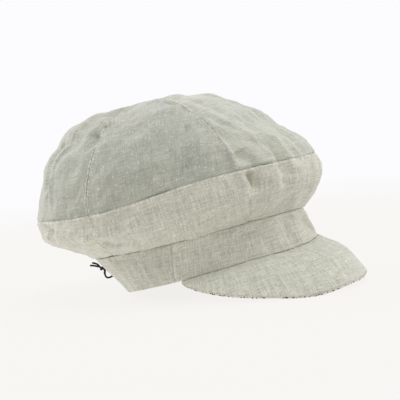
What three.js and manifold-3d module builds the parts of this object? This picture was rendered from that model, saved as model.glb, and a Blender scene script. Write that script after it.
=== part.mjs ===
// Soft linen cap with a full gathered crown, a peak and an elastic cord tied at the back.
// Millimetres. Front is -Y, the wearer's right is -X, +Z is up, and the cap rests on Z = 0.

import * as THREE from 'three';
import Module from 'manifold-3d';
import { mergeVertices } from 'three/addons/utils/BufferGeometryUtils.js';

// Driving sizes
const clothWall = 2.2;
const bandWall = 2.6;
const peakTopWall = 1.9;
const peakFacingWall = 1.4;
const pieceGap = 0.4;
const layerGap = 0.3;
const bandCentreY = 0;
const joinCentreY = 12;
const wideCentreY = 29;
const apexPoint = { y: 36, z: 179 };
const crownCore = new THREE.Vector3(0, 30, 95);

// The cap rests on the rim of its peak and on the back of its band.
const restTilt = 12.42;
const restPlace = { x: 0.55, y: -18.39, z: 24.44 };

// Crown, station by station round the head. Heading 0 is the front, 90 the wearer's right.
// Three rings: the hem of the band, the join of band and crown, and the widest seam.
const stationColumns = [
  'heading', 'hemReach', 'hemHeight', 'joinReach', 'joinHeight', 'wideReach', 'wideHeight',
];
const stationRows = [
  [0, 100, -3, 105, 32, 145, 81],
  [45, 92, -5, 96, 31, 138, 82],
  [90, 86, -6, 92, 32, 134, 78],
  [135, 96, -4, 111, 37, 144, 88],
  [180, 100, -3, 116, 42, 148, 92],
  [225, 96, -2, 111, 37, 141, 86],
  [270, 86, -5, 92, 33, 134, 78],
  [315, 96, 4, 100, 32, 142, 83],
];

// Section of the side panel and of the top at the same stations.
// flare and lift leave the join, belly and drop reach the widest seam from below,
// climb and lean leave the widest seam, and flat and peakiness arrive at the apex.
const sectionColumns = [
  'heading', 'flare', 'lift', 'belly', 'drop', 'climb', 'lean', 'flat', 'peakiness',
];
const sectionRows = [
  [0, 23, 12, 6, 24, 0.30, 0, 0.50, -0.06],
  [45, 27, 8, 7, 24, 0.42, 0, 0.52, 0.00],
  [90, 30, 3, 8, 26, 0.50, 2, 0.62, 0.05],
  [135, 32, 25, 9, 27, 0.60, -22, 0.84, -0.06],
  [180, 32, 24, 8, 27, 0.55, -24, 0.74, -0.05],
  [225, 34, 12, 9, 28, 0.60, -18, 0.82, -0.06],
  [270, 30, 4, 8, 24, 0.50, 2, 0.62, 0.05],
  [315, 23, 8, 6, 22, 0.30, 1, 0.50, -0.06],
];

// Rim of the peak, from its left end to its right end.
const peakHalfAngle = 88;
const peakEnd = 0.97;
const peakCrest = 6.6;
const peakTuck = 1.2;
const rimColumns = ['place', 'reach', 'height'];
const rimRows = [
  [-1.00, 86, -5],
  [-0.75, 108, -29],
  [-0.50, 127, -43.3],
  [-0.25, 141, -44],
  [0.00, 149, -48],
  [0.25, 144, -52],
  [0.50, 126, -40],
  [0.75, 108, -24],
  [1.00, 86, -7],
];

// Headings of the seams between the six panels, at the join and at the widest seam.
// A seam leaves the join at a slant and is upright where it meets the widest seam.
// bow is how far a seam swings sideways, in degrees, half way up the top.
const panelSeams = [
  { name: 'right_front', join: 29, wide: 29, bow: 0 },
  { name: 'right_side', join: 119, wide: 98, bow: -4 },
  { name: 'right_back', join: 146, wide: 131, bow: -9 },
  { name: 'left_back', join: 214, wide: 229, bow: 9 },
  { name: 'left_side', join: 241, wide: 262, bow: 4 },
  { name: 'left_front', join: 331, wide: 331, bow: 14 },
];
const seamDip = { depth: 1.6, width: 7 };
const degreesPerColumn = 5.5;
const sideSpan = { from: 0.003, to: 0.998, rows: 8 };
const topSpan = { from: 1.002, to: 1.985, rows: 10 };

// Dents and ridges of the crown. place is 0 at the join, 1 at the widest seam, 2 at the apex.
// A fold runs over the surface from one point to the other, with its half width and its height,
// hollows negative. drop is how far the cloth also sags there.
const foldColumns = [
  'fromHeading', 'fromPlace', 'toHeading', 'toPlace', 'halfWidth', 'height', 'drop',
];
const foldRows = [
  [25.5, 0.90, 25, 0.74, 5, -9, 1],
  [30, 1.20, 30.5, 0.62, 4.5, 3.5, 0],
  [25, 1.12, 22, 1.03, 6, -4, 0],
  [8, 1.02, 10, 0.68, 7, -4, 0],
  [13, 1.08, 14, 0.62, 4, 2, 0],
  [-6, 0.90, -4, 0.50, 4, 1.5, 0],
  [-16, 0.90, -14, 0.50, 4, 1.5, 0],
  [0, 1.42, -40, 1.28, 19, -5.5, 0],
  [35, 1.75, 22, 1.35, 4, -1.5, 0],
  [20, 1.70, 10, 1.35, 4, -1.5, 0],
  [116, 1.54, 146, 1.50, 17, -6, 0],
  [126, 1.80, 122, 1.72, 9, 4, 0],
  [108, 1.86, 100, 1.76, 6, -4, 0],
  [104, 1.72, 92, 1.85, 5, 2.5, 0],
  [100, 1.58, 98, 1.50, 5, -3.5, 0],
  [120, 0.78, 97.5, 0.63, 7, 3, 0],
  [97.5, 0.63, 81, 0.68, 7, 3, 0],
  [99, 0.48, 85, 0.38, 8, -5, 0],
  [124, 0.93, 121, 0.80, 4, -3, 0],
];
const foldSteps = 6;

// The two pieces of the band meet at a seam that leans forward from the hem to the join.
const bandSeam = { heading: 91, lean: 14 };
const bandGrid = { columns: 28, rows: 4 };
const peakGrid = { columns: 36, rows: 8 };

// Elastic cord: two eyelets in the back of the band, a knot outside and two short free ends.
const cordDiameter = 1.9;
const cordSides = 8;
const cordSteps = 64;
const cordInsideClearance = 2.2;
const eyeletDiameter = 2.7;
const eyeletCut = { length: 9, sides: 12 };
const eyelets = {
  low: { heading: 156, up: 0.47 },
  high: { heading: 162, up: 0.64 },
};
const knot = {
  centre: new THREE.Vector3(-51.3, 109.6, 27.2),
  along: new THREE.Vector3(0.44, -0.56, -0.72).normalize(),
  across: new THREE.Vector3(-0.82, -0.57, -0.02),
  strandGap: 0.4,
  wall: 1.0,
  length: 2.6,
};
const firstEnd = [
  [-58.5, 118.0, 33.0],
  [-56.7, 115.4, 32.0],
  [-54.9, 112.8, 30.5],
];
const lowLoop = [
  [-50.9, 107.6, 24.4],
  [-51.0, 108.0, 21.6],
  [-51.0, 108.2, 18.9],
  [-50.0, 107.6, 16.9],
  [-48.2, 106.2, 16.2],
];
const highLoop = [
  [-36.8, 115.2, 25.5],
  [-38.9, 115.8, 24.3],
  [-41.8, 115.1, 22.6],
  [-45.6, 112.7, 21.6],
  [-48.3, 109.6, 22.6],
];
const secondEnd = [
  [-52.2, 112.0, 30.4],
  [-53.1, 112.5, 32.1],
  [-54.7, 114.1, 33.8],
  [-56.3, 116.2, 35.0],
];

const materials = {
  crown: { color: 0xb0b2a6, roughness: 0.95, metalness: 0 },
  side: { color: 0xbebcaf, roughness: 0.95, metalness: 0 },
  band: { color: 0xb2aea2, roughness: 0.95, metalness: 0 },
  peak: { color: 0xb5b5a7, roughness: 0.95, metalness: 0 },
  facing: { color: 0xe2ded4, roughness: 0.95, metalness: 0 },
  cord: { color: 0x141414, roughness: 0.7, metalness: 0 },
};

// Tables read by column name
function readTable(columns, rows) {
  return rows.map((row) => Object.fromEntries(columns.map((name, i) => [name, row[i]])));
}

const stations = readTable(stationColumns, stationRows);
const sections = readTable(sectionColumns, sectionRows);
const rimPoints = readTable(rimColumns, rimRows);
const folds = readTable(foldColumns, foldRows);

// Smooth curves through table values
function spline(p0, p1, p2, p3, t) {
  const a = p2 - p0;
  const b = 2 * p0 - 5 * p1 + 4 * p2 - p3;
  const c = 3 * (p1 - p2) + p3 - p0;
  return p1 + 0.5 * t * (a + t * (b + t * c));
}

function around(table, column, heading) {
  const n = table.length;
  const turn = (((heading % 360) + 360) % 360) * n / 360;
  const i = Math.floor(turn) % n;
  const at = (k) => table[(i + k + n) % n][column];
  return spline(at(-1), at(0), at(1), at(2), turn - Math.floor(turn));
}

function along(table, column, place) {
  const n = table.length - 1;
  const turn = Math.min(Math.max(place, 0), 1) * n;
  const i = Math.min(Math.floor(turn), n - 1);
  const value = (k) => table[k][column];
  const before = i > 0 ? value(i - 1) : 2 * value(0) - value(1);
  const after = i < n - 1 ? value(i + 2) : 2 * value(n) - value(n - 1);
  return spline(before, value(i), value(i + 1), after, turn - i);
}

function bezier(a, b, c, d, t) {
  const s = 1 - t;
  return s * s * s * a + 3 * s * s * t * b + 3 * s * t * t * c + t * t * t * d;
}

function mix(a, b, t) {
  return a + (b - a) * t;
}

function polar(reach, centreY, height, heading) {
  const a = THREE.MathUtils.degToRad(heading);
  return new THREE.Vector3(-reach * Math.sin(a), centreY - reach * Math.cos(a), height);
}

// Rings and surfaces of the undented cap
function hemPoint(heading) {
  const reach = around(stations, 'hemReach', heading);
  return polar(reach, bandCentreY, around(stations, 'hemHeight', heading), heading);
}

function bandSurface(heading, up) {
  const reach = mix(around(stations, 'hemReach', heading), around(stations, 'joinReach', heading), up);
  const height = mix(around(stations, 'hemHeight', heading), around(stations, 'joinHeight', heading), up);
  return polar(reach, mix(bandCentreY, joinCentreY, up), height, heading);
}

function sideSurface(heading, up) {
  const low = around(stations, 'joinReach', heading);
  const high = around(stations, 'wideReach', heading);
  const bottom = around(stations, 'joinHeight', heading);
  const top = around(stations, 'wideHeight', heading);
  const flare = around(sections, 'flare', heading);
  const lift = around(sections, 'lift', heading);
  const belly = around(sections, 'belly', heading);
  const drop = around(sections, 'drop', heading);
  const reach = bezier(low, low + flare, high + belly, high, up);
  const height = bezier(bottom, bottom + lift, top - drop, top, up);
  return polar(reach, mix(joinCentreY, wideCentreY, up), height, heading);
}

function topSurface(heading, up) {
  const wide = around(stations, 'wideReach', heading);
  const start = around(stations, 'wideHeight', heading);
  const rise = apexPoint.z - start;
  const flat = wide * around(sections, 'flat', heading);
  const shoulder = apexPoint.z - flat * around(sections, 'peakiness', heading);
  const lean = around(sections, 'lean', heading);
  const climb = rise * around(sections, 'climb', heading);
  const reach = bezier(wide, wide + lean, flat, 0, up);
  const height = bezier(start, start + climb, shoulder, apexPoint.z, up);
  return polar(reach, mix(wideCentreY, apexPoint.y, up), height, heading);
}

// place runs from 0 at the join over 1 at the widest seam to 2 at the apex
function crownBase(heading, place) {
  return place <= 1 ? sideSurface(heading, place) : topSurface(heading, place - 1);
}

function outward(point) {
  return point.clone().sub(crownCore).normalize();
}

function seamHeading(seam, place) {
  const bow = seam.bow * Math.sin(Math.PI * Math.min(Math.max(place - 1, 0), 1));
  const below = 1 - Math.min(place, 1);
  return mix(seam.join, seam.wide, 1 - below * below) + bow;
}

function foldLine(fold) {
  const at = (t) => crownBase(mix(fold.fromHeading, fold.toHeading, t), mix(fold.fromPlace, fold.toPlace, t));
  const lines = [];
  for (let i = 0; i < foldSteps; i += 1) {
    lines.push(new THREE.Line3(at(i / foldSteps), at((i + 1) / foldSteps)));
  }
  return lines;
}

const foldLines = folds.map((fold) => ({ ...fold, lines: foldLine(fold) }));

// Height and sag of the cloth at a point, summed over all folds
function foldShift(point) {
  const nearest = new THREE.Vector3();
  const shift = { height: 0, drop: 0 };
  for (const fold of foldLines) {
    let least = Infinity;
    for (const line of fold.lines) {
      line.closestPointToPoint(point, true, nearest);
      least = Math.min(least, nearest.distanceTo(point));
    }
    const bump = Math.exp(-((least / fold.halfWidth) ** 2));
    shift.height += fold.height * bump;
    shift.drop += fold.drop * bump;
  }
  return shift;
}

// The cloth dips a little along every panel seam.
function seamDipHeight(point, heading, place) {
  const axis = new THREE.Vector3(0, mix(joinCentreY, wideCentreY, Math.min(place, 1)), point.z);
  const reach = point.distanceTo(axis);
  let least = Infinity;
  for (const seam of panelSeams) {
    const turn = Math.abs(((heading - seamHeading(seam, place) + 540) % 360) - 180);
    least = Math.min(least, THREE.MathUtils.degToRad(turn) * reach);
  }
  const ratio = least / seamDip.width;
  return -seamDip.depth * Math.exp(-ratio * ratio);
}

function crownSurface(heading, place) {
  const point = crownBase(heading, place);
  const fold = foldShift(point);
  const height = fold.height + seamDipHeight(point, heading, place);
  point.addScaledVector(outward(point), height);
  point.z -= fold.drop;
  return point;
}

function peakSurface(place, out) {
  const heading = place * peakHalfAngle;
  const hem = hemPoint(heading);
  const hemReach = Math.hypot(hem.x, hem.y);
  const rimReach = along(rimPoints, 'reach', (place + 1) / 2);
  const rimHeight = along(rimPoints, 'height', (place + 1) / 2);
  const crest = peakCrest * Math.sin(Math.PI * out) * Math.min(Math.max((rimReach - hemReach) / 40, 0), 1);
  const reach = mix(hemReach, rimReach, out) + 0.6 * crest;
  return polar(reach, bandCentreY, mix(hem.z, rimHeight, out) + 0.8 * crest, heading);
}

// A closed wall between two grids of points, outer(i, j) and inner(i, j)
function wallGeometry(columns, rows, outer, inner) {
  const positions = [];
  const faces = [];
  const grids = [outer, inner];
  const width = columns + 1;
  const layer = width * (rows + 1);
  for (const grid of grids) {
    for (let j = 0; j <= rows; j += 1) {
      for (let i = 0; i <= columns; i += 1) {
        positions.push(...grid(i / columns, j / rows).toArray());
      }
    }
  }
  const at = (side, i, j) => side * layer + j * width + i;
  const quad = (a, b, c, d) => faces.push(a, b, c, a, c, d);
  for (let j = 0; j < rows; j += 1) {
    for (let i = 0; i < columns; i += 1) {
      quad(at(0, i, j), at(0, i + 1, j), at(0, i + 1, j + 1), at(0, i, j + 1));
      quad(at(1, i, j), at(1, i, j + 1), at(1, i + 1, j + 1), at(1, i + 1, j));
    }
  }
  for (let i = 0; i < columns; i += 1) {
    quad(at(0, i + 1, 0), at(0, i, 0), at(1, i, 0), at(1, i + 1, 0));
    quad(at(0, i, rows), at(0, i + 1, rows), at(1, i + 1, rows), at(1, i, rows));
  }
  for (let j = 0; j < rows; j += 1) {
    quad(at(0, 0, j), at(0, 0, j + 1), at(1, 0, j + 1), at(1, 0, j));
    quad(at(0, columns, j + 1), at(0, columns, j), at(1, columns, j), at(1, columns, j + 1));
  }
  const geometry = new THREE.BufferGeometry();
  geometry.setAttribute('position', new THREE.Float32BufferAttribute(positions, 3));
  geometry.setIndex(faces);
  geometry.computeVertexNormals();
  return geometry;
}

// Half of the gap between two panels, as an angle at this point
function gapAngle(point, centreY) {
  const reach = Math.hypot(point.x, point.y - centreY);
  return THREE.MathUtils.radToDeg(pieceGap / 2 / Math.max(reach, 1));
}

// More columns near the seams, where the cloth dips
function towardsEdges(t) {
  return t - 0.1 * Math.sin(2 * Math.PI * t);
}

function crownPanel(first, second, span) {
  const width = (second.wide - first.wide + 360) % 360;
  const columns = Math.round(width / degreesPerColumn);
  const outer = (across, downward) => {
    const place = mix(span.to, span.from, downward);
    let start = seamHeading(first, place);
    let end = seamHeading(second, place);
    if (end < start) {
      start -= 360;
    }
    const edge = crownBase(start, place);
    const upperCentreY = mix(wideCentreY, apexPoint.y, place - 1);
    const centreY = place <= 1 ? mix(joinCentreY, wideCentreY, place) : upperCentreY;
    const gap = gapAngle(edge, centreY);
    start += gap;
    end -= gap;
    return crownSurface(mix(start, end, towardsEdges(across)), place);
  };
  const inner = (across, downward) => {
    const point = outer(across, downward);
    return point.addScaledVector(outward(point), -clothWall);
  };
  return wallGeometry(columns, span.rows, outer, inner);
}

// lean is how many degrees longer each end of the piece is at the join than at the hem.
function bandPiece(startAngle, endAngle, lean) {
  const topGap = pieceGap / 40;
  const outer = (across, downward) => {
    const up = (1 - downward) * (1 - topGap);
    const gap = gapAngle(hemPoint(startAngle), bandCentreY);
    const heading = mix(startAngle - lean * up + gap, endAngle + lean * up - gap, across);
    return bandSurface(heading, up);
  };
  const inner = (across, downward) => {
    const point = outer(across, downward);
    const flat = new THREE.Vector3(point.x, point.y, 0).normalize();
    return point.addScaledVector(flat, -bandWall);
  };
  return wallGeometry(bandGrid.columns, bandGrid.rows, outer, inner);
}

// Unit normal of the peak, pointing up and forward
function peakNormal(place, out) {
  const step = 0.01;
  const a = peakSurface(Math.max(place - step, -0.995), out);
  const b = peakSurface(Math.min(place + step, 0.995), out);
  const c = peakSurface(place, Math.max(out - step, 0));
  const d = peakSurface(place, Math.min(out + step, 1));
  return b.sub(a).cross(d.sub(c)).normalize();
}

// A layer of the peak: its inner edge is tucked under the band, its rim is free.
function peakPiece(depthTop, wall) {
  const level = (depth) => (across, outwardly) => {
    const place = peakEnd * (2 * across - 1);
    const point = peakSurface(place, outwardly);
    const normal = peakNormal(place, outwardly);
    if (outwardly === 0) {
      const inward = new THREE.Vector3(-point.x, -point.y, 0).setLength(peakTuck);
      point.add(inward);
      point.z -= pieceGap;
    }
    return point.addScaledVector(normal, -depth);
  };
  return wallGeometry(peakGrid.columns, peakGrid.rows, level(depthTop), level(depthTop + wall));
}

// Solid geometry for cutting, and back
const wasm = await Module();
wasm.setup();

function toSolid(geometry) {
  const bare = geometry.clone();
  bare.deleteAttribute('normal');
  bare.deleteAttribute('uv');
  const merged = mergeVertices(bare, 1e-4);
  const vertProperties = new Float32Array(merged.attributes.position.array);
  const triVerts = new Uint32Array(merged.index.array);
  return new wasm.Manifold(new wasm.Mesh({ numProp: 3, vertProperties, triVerts }));
}

function toGeometry(solid) {
  const mesh = solid.getMesh();
  const geometry = new THREE.BufferGeometry();
  geometry.setAttribute('position', new THREE.BufferAttribute(mesh.vertProperties, 3));
  geometry.setIndex(new THREE.BufferAttribute(mesh.triVerts, 1));
  geometry.computeVertexNormals();
  return geometry;
}

// An eyelet goes straight through the wall of the band.
function eyeletAxis(eyelet) {
  const point = bandSurface(eyelet.heading, eyelet.up);
  const normal = new THREE.Vector3(point.x, point.y, 0).normalize();
  return { point, normal };
}

function eyeletPoint(eyelet, depth) {
  const { point, normal } = eyeletAxis(eyelet);
  return point.addScaledVector(normal, -depth);
}

function eyeletCutter(eyelet) {
  const { normal } = eyeletAxis(eyelet);
  const radius = eyeletDiameter / 2;
  const cutter = new THREE.CylinderGeometry(radius, radius, eyeletCut.length, eyeletCut.sides);
  cutter.applyQuaternion(new THREE.Quaternion().setFromUnitVectors(new THREE.Vector3(0, 1, 0), normal));
  const centre = eyeletPoint(eyelet, bandWall / 2);
  return cutter.translate(centre.x, centre.y, centre.z);
}

function cutEyelets(geometry) {
  let solid = toSolid(geometry);
  for (const eyelet of Object.values(eyelets)) {
    solid = solid.subtract(toSolid(eyeletCutter(eyelet)));
  }
  return toGeometry(solid);
}

function knotPoint(side, along) {
  const offset = (cordDiameter + knot.strandGap) / 2;
  return knot.centre.clone()
    .addScaledVector(knot.across, side * offset)
    .addScaledVector(knot.along, along);
}

// One cord from free end to free end, running inside the band between the eyelets
function cordRoute() {
  const list = (rows) => rows.map((row) => new THREE.Vector3(...row));
  const insideDepth = bandWall + cordDiameter + cordInsideClearance;
  return [
    ...list(firstEnd),
    knotPoint(1, -2.6),
    knotPoint(1, 0),
    knotPoint(1, 2.4),
    ...list(lowLoop),
    eyeletPoint(eyelets.low, -1.5),
    eyeletPoint(eyelets.low, 1),
    eyeletPoint(eyelets.low, 3.2),
    eyeletPoint({ heading: 158, up: 0.53 }, insideDepth),
    eyeletPoint({ heading: 160, up: 0.59 }, insideDepth),
    eyeletPoint(eyelets.high, 3.2),
    eyeletPoint(eyelets.high, 1),
    eyeletPoint(eyelets.high, -1.5),
    ...list(highLoop),
    knotPoint(-1, 2.4),
    knotPoint(-1, 0),
    knotPoint(-1, -2.6),
    ...list(secondEnd),
  ];
}

function cordGeometry() {
  const section = new THREE.Shape();
  for (let i = 0; i < cordSides; i += 1) {
    const angle = (i + 0.5) * 2 * Math.PI / cordSides;
    const x = (cordDiameter / 2) * Math.cos(angle);
    const y = (cordDiameter / 2) * Math.sin(angle);
    if (i === 0) {
      section.moveTo(x, y);
    } else {
      section.lineTo(x, y);
    }
  }
  const path = new THREE.CatmullRomCurve3(cordRoute(), false, 'centripetal');
  return new THREE.ExtrudeGeometry(section, { steps: cordSteps, bevelEnabled: false, extrudePath: path });
}

// The knot is a rounded ring that holds both strands.
function knotGeometry() {
  const reach = (cordDiameter + knot.strandGap) / 2;
  const ring = (radius) => {
    const points = [];
    for (let i = 0; i <= 8; i += 1) {
      const angle = -Math.PI / 2 + i * Math.PI / 8;
      points.push(new THREE.Vector2(reach + radius * Math.cos(angle), radius * Math.sin(angle)));
    }
    for (let i = 0; i <= 8; i += 1) {
      const angle = Math.PI / 2 + i * Math.PI / 8;
      points.push(new THREE.Vector2(-reach + radius * Math.cos(angle), radius * Math.sin(angle)));
    }
    return points;
  };
  const inner = cordDiameter / 2 + 0.5;
  const shape = new THREE.Shape(ring(inner + knot.wall));
  shape.holes.push(new THREE.Path(ring(inner)));
  const geometry = new THREE.ExtrudeGeometry(shape, { depth: knot.length, bevelEnabled: false });
  geometry.translate(0, 0, -knot.length / 2);
  const third = knot.along.clone().cross(knot.across).normalize();
  const first = third.clone().cross(knot.along).normalize();
  const frame = new THREE.Matrix4().makeBasis(first, third, knot.along);
  return geometry.applyMatrix4(frame).translate(knot.centre.x, knot.centre.y, knot.centre.z);
}

// Assembly
const cap = new THREE.Group();
cap.name = 'cap';

function addPiece(name, geometry, material) {
  const mesh = new THREE.Mesh(geometry, new THREE.MeshStandardMaterial(material));
  mesh.name = name;
  cap.add(mesh);
  return mesh;
}

panelSeams.forEach((seam, index) => {
  const next = panelSeams[(index + 1) % panelSeams.length];
  const number = index + 1;
  addPiece(`side_panel_${number}`, crownPanel(seam, next, sideSpan), materials.side);
  addPiece(`crown_panel_${number}`, crownPanel(seam, next, topSpan), materials.crown);
});

const bandFront = bandPiece(-bandSeam.heading, bandSeam.heading, -bandSeam.lean);
const bandBack = bandPiece(bandSeam.heading, 360 - bandSeam.heading, bandSeam.lean);
addPiece('band_front', bandFront, materials.band);
addPiece('band_back', cutEyelets(bandBack), materials.band);

addPiece('peak_top', peakPiece(0, peakTopWall), materials.peak);
addPiece('peak_facing', peakPiece(peakTopWall + layerGap, peakFacingWall), materials.facing);
addPiece('elastic_cord', cordGeometry(), materials.cord);
addPiece('cord_knot', knotGeometry(), materials.cord);

cap.rotation.x = THREE.MathUtils.degToRad(-restTilt);
cap.position.set(restPlace.x, restPlace.y, restPlace.z);

export default cap;
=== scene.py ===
import math

import bmesh
import bpy
import numpy as np
from mathutils import Matrix, Vector


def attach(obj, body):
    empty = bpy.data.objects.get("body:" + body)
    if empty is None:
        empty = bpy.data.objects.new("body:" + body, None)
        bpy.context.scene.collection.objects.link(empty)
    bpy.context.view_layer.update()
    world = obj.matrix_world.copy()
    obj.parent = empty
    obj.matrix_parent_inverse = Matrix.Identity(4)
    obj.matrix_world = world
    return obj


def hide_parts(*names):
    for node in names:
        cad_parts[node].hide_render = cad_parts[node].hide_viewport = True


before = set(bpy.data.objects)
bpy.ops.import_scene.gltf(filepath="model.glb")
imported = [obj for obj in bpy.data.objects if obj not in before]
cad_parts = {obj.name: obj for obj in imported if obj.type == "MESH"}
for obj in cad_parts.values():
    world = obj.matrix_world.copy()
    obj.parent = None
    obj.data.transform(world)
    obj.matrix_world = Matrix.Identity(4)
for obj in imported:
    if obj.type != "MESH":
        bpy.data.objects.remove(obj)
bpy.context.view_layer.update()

MM = 0.001

# Driving sizes of the form, the same as the solids
JOIN_CENTRE_Y = 12.0
WIDE_CENTRE_Y = 29.0
BAND_CENTRE_Y = 0.0
APEX_Y = 36.0
APEX_Z = 179.0
CROWN_CORE = np.array([0.0, 30.0, 95.0])
REST_TILT = 12.42
REST_PLACE = np.array([0.55, -18.39, 24.44])

# Heading 0 is the front, 90 the wearer's right.
STATION_COLUMNS = (
    "heading", "hem_reach", "hem_height", "join_reach", "join_height", "wide_reach", "wide_height",
)
STATION_ROWS = (
    (0, 100, -3, 105, 32, 145, 81),
    (45, 92, -5, 96, 31, 138, 82),
    (90, 86, -6, 92, 32, 134, 78),
    (135, 96, -4, 111, 37, 144, 88),
    (180, 100, -3, 116, 42, 148, 92),
    (225, 96, -2, 111, 37, 141, 86),
    (270, 86, -5, 92, 33, 134, 78),
    (315, 96, 4, 100, 32, 142, 83),
)
SECTION_COLUMNS = (
    "heading", "flare", "lift", "belly", "drop", "climb", "lean", "flat", "peakiness",
)
SECTION_ROWS = (
    (0, 23, 12, 6, 24, 0.30, 0, 0.50, -0.06),
    (45, 27, 8, 7, 24, 0.42, 0, 0.52, 0.00),
    (90, 30, 3, 8, 26, 0.50, 2, 0.62, 0.05),
    (135, 32, 25, 9, 27, 0.60, -22, 0.84, -0.06),
    (180, 32, 24, 8, 27, 0.55, -24, 0.74, -0.05),
    (225, 34, 12, 9, 28, 0.60, -18, 0.82, -0.06),
    (270, 30, 4, 8, 24, 0.50, 2, 0.62, 0.05),
    (315, 23, 8, 6, 22, 0.30, 1, 0.50, -0.06),
)

# Seams between the crown's panels: headings at the join and at the widest seam, and sideways bow.
# crown_shade and side_shade scale the colour of the panels that start at that seam: partly the cloth's
# own tone, partly painted light, shade and sheen.
# crown_line and side_line are how dark the seam's own line is on the crown and on the side.
SEAM_COLUMNS = ("join", "wide", "bow", "crown_shade", "side_shade", "crown_line", "side_line")
SEAM_ROWS = (
    (29, 29, 0, 0.915, 1.05, 1.0, 0.35),
    (119, 98, -4, 0.95, 1.12, 1.6, 1.2),
    (146, 131, -9, 1.00, 1.06, 0.7, 0.7),
    (214, 229, 9, 0.97, 1.02, 0.7, 0.7),
    (241, 262, 4, 1.00, 1.05, 0.8, 0.8),
    (331, 331, 14, 1.10, 1.02, 0.8, 0.6),
)
SEAM_DIP_DEPTH = 1.6
SEAM_DIP_WIDTH = 7.0
SEAM_GROOVE_DEPTH = 0.4
SEAM_GROOVE_WIDTH = 0.9
SEAM_LIP_HEIGHT = 0.3
SEAM_LIP_PLACE = 2.6
SEAM_LIP_WIDTH = 1.7
SEAM_LINE_WIDTH = 0.7
# Upright seams run up the crown, and level ones run round it.
UPRIGHT_RELIEF = 0.5
UPRIGHT_STITCH = 0.55
UPRIGHT_STITCH_PLACE = 1.2
LEVEL_DARKNESS = 0.65
LEVEL_STITCH_PLACE = 1.7

# Folds of the crown. place is 0 at the join, 1 at the widest seam, 2 at the apex.
# These rows are those of the solids.
FOLD_COLUMNS = (
    "from_heading", "from_place", "to_heading", "to_place", "half_width", "height", "drop",
)
FOLD_ROWS = (
    (25.5, 0.90, 25, 0.74, 5, -9, 1),
    (30, 1.20, 30.5, 0.62, 4.5, 3.5, 0),
    (25, 1.12, 22, 1.03, 6, -4, 0),
    (8, 1.02, 10, 0.68, 7, -4, 0),
    (13, 1.08, 14, 0.62, 4, 2, 0),
    (-6, 0.90, -4, 0.50, 4, 1.5, 0),
    (-16, 0.90, -14, 0.50, 4, 1.5, 0),
    (0, 1.42, -40, 1.28, 19, -5.5, 0),
    (35, 1.75, 22, 1.35, 4, -1.5, 0),
    (20, 1.70, 10, 1.35, 4, -1.5, 0),
    (116, 1.54, 146, 1.50, 17, -6, 0),
    (126, 1.80, 122, 1.72, 9, 4, 0),
    (108, 1.86, 100, 1.76, 6, -4, 0),
    (104, 1.72, 92, 1.85, 5, 2.5, 0),
    (100, 1.58, 98, 1.50, 5, -3.5, 0),
    (120, 0.78, 97.5, 0.63, 7, 3, 0),
    (97.5, 0.63, 81, 0.68, 7, 3, 0),
    (99, 0.48, 85, 0.38, 8, -5, 0),
    (124, 0.93, 121, 0.80, 4, -3, 0),
)
FOLD_STEPS = 6

# Finer creases, which lie over the folds and don't sag. A hollow has a negative height.
CREASE_ROWS = (
    (24.0, 0.90, 26.0, 0.74, 6.4, -2.9),
    (35, 0.70, 29, 0.58, 2.8, 1.0),
    (29, 0.58, 22, 0.58, 2.8, 1.4),
    (15, 1.02, 16, 0.62, 3.2, 2.4),
    (10.5, 1.12, 8.0, 0.82, 4.8, -3.4),
    (41, 1.42, 50, 1.05, 2.6, -2.2),
    (37, 1.42, 45, 1.06, 4.5, 2.0),
    (21, 1.44, 16.5, 1.33, 2.4, 1.4),
    (16.5, 1.33, 13, 1.09, 2.4, 1.4),
    (30, 1.14, 18.5, 1.20, 1.8, 1.2),
    (56, 1.05, 50, 1.13, 7, -2.2),
    (67, 1.05, 61, 1.14, 7, -2.2),
    (82, 1.04, 76, 1.14, 8, -2.4),
    (96, 1.06, 100, 1.40, 5, 1.2),
    (99, 1.57, 92, 1.50, 4.5, -3.0),
    (104, 1.70, 93, 1.66, 4.0, 2.0),
    (108, 1.88, 103, 1.78, 4.5, -2.5),
    (123, 1.50, 121, 1.12, 3.5, 2.4),
    (131, 1.52, 129, 1.20, 4.5, -3.5),
    (134, 0.96, 126, 0.72, 3.0, 1.8),
    (128, 0.96, 121, 0.74, 3.0, -1.8),
    (100, 0.84, 80, 0.86, 5.0, -2.0),
    (102, 0.46, 96, 0.38, 4.0, -2.5),
    (20, 1.46, 5, 1.35, 2.6, 1.0),
    (24, 1.40, 6, 1.28, 3.0, -1.2),
    (25, 1.33, 2, 1.20, 2.8, 0.8),
    (24, 1.26, 8, 1.14, 3.0, -1.2),
    (8, 1.46, 4.5, 1.10, 2.4, 1.1),
    (4, 1.44, 0.5, 1.04, 2.4, -1.3),
    (0, 1.46, -4, 1.04, 2.2, 1.3),
    (-4.5, 1.44, -8, 1.03, 2.2, -1.3),
    (-8.5, 1.44, -12, 1.02, 2.2, 1.2),
    (-2, 0.95, 1, 0.42, 2.6, 1.4),
    (-6.5, 0.95, -6, 0.42, 2.4, -1.5),
    (-11, 0.94, -10.5, 0.36, 2.2, 1.4),
    (-15.5, 0.92, -14.5, 0.38, 2.2, -1.5),
    (-20, 0.90, -18, 0.40, 2.4, 1.4),
    (4.5, 0.60, 6, 0.30, 3.0, -1.2),
    (17, 0.96, 20, 0.40, 3.2, 1.3),
    (97, 0.60, 113, 0.16, 3.2, -3.0),
    (104, 0.64, 119, 0.20, 3.8, 2.2),
    (86, 0.26, 70, 0.34, 5, -1.6),
    (75, 0.74, 48, 0.58, 5, 1.2),
    (68, 0.46, 42, 0.36, 6, -1.2),
    (36, 0.92, 35, 0.30, 4, 1.0),
    (128, 0.90, 112, 0.86, 4, -1.6),
    (138, 0.80, 118, 0.62, 5, 1.4),
)

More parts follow.
